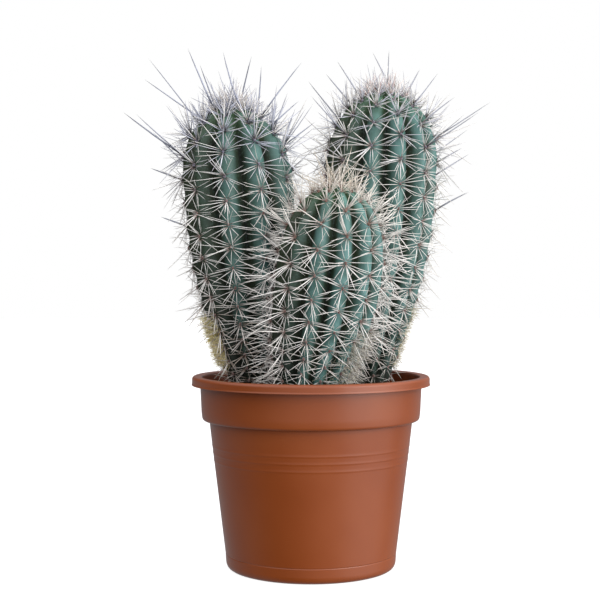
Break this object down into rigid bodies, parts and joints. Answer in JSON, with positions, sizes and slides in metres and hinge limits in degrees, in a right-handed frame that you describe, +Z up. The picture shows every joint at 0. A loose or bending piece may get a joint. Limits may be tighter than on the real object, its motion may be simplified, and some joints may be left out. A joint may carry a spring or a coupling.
{
  "type": "potted cactus",
  "caption": "Cluster of ribbed, spiny column cacti standing in the soil of a round tapered plastic nursery pot with a turned-down rim.",
  "frame": {"origin": "middle of the pot's flat underside", "axes": "+Z up along the pot's axis; -Y is the front, the side seen in the picture; +X to the right of it"},
  "size_m": [0.2963, 0.2234, 0.415],
  "materials": {
    "pot_plastic": "satin moulded plastic, terracotta colour",
    "potting_soil": null,
    "cactus_stem": null
  },
  "bodies": {
    "root": {"pot": "pot_plastic", "soil": "potting_soil", "stem_left": "cactus_stem", "stem_right": "cactus_stem", "stem_front": "cactus_stem"}
  },
  "joints": []
}
